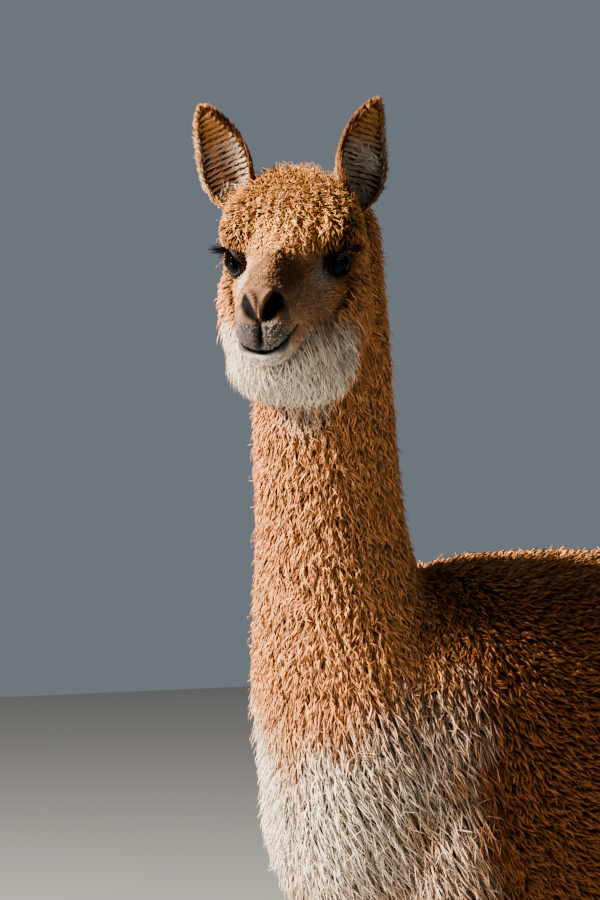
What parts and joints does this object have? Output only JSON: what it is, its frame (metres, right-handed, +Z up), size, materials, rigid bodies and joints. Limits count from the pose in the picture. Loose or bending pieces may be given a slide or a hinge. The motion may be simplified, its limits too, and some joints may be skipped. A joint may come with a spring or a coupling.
{
  "type": "alpaca",
  "caption": "Life-size standing alpaca with a short fawn fleece, pale bib and beard, upright neck and ears, and its head turned to its left.",
  "frame": {"origin": "on the floor, under the middle of the animal's box", "axes": "+Z up, -Y the way the body faces, +X the animal's left"},
  "size_m": [0.3698, 1.0536, 1.3517],
  "materials": {
    "fleece_neck": "short dense crimped fleece, warm tan, cream on beard and bib",
    "fleece_brown": "short dense crimped fleece, cinnamon brown",
    "eye_dark": "wet, dark brown to black",
    "nail_horn": "dull dark horn"
  },
  "bodies": {
    "root": {"ear_left": "fleece_brown", "ear_right": "fleece_brown", "eye_left": "eye_dark", "eye_right": "eye_dark", "head": "fleece_neck", "leg_fore_left": "fleece_brown", "leg_fore_right": "fleece_brown", "leg_hind_left": "fleece_brown", "leg_hind_right": "fleece_brown", "nail_fore_left_1": "nail_horn", "nail_fore_left_2": "nail_horn", "nail_fore_right_1": "nail_horn", "nail_fore_right_2": "nail_horn", "nail_hind_left_1": "nail_horn", "nail_hind_left_2": "nail_horn", "nail_hind_right_1": "nail_horn", "nail_hind_right_2": "nail_horn", "neck": "fleece_neck", "tail": "fleece_brown", "trunk": "fleece_brown"}
  },
  "joints": []
}
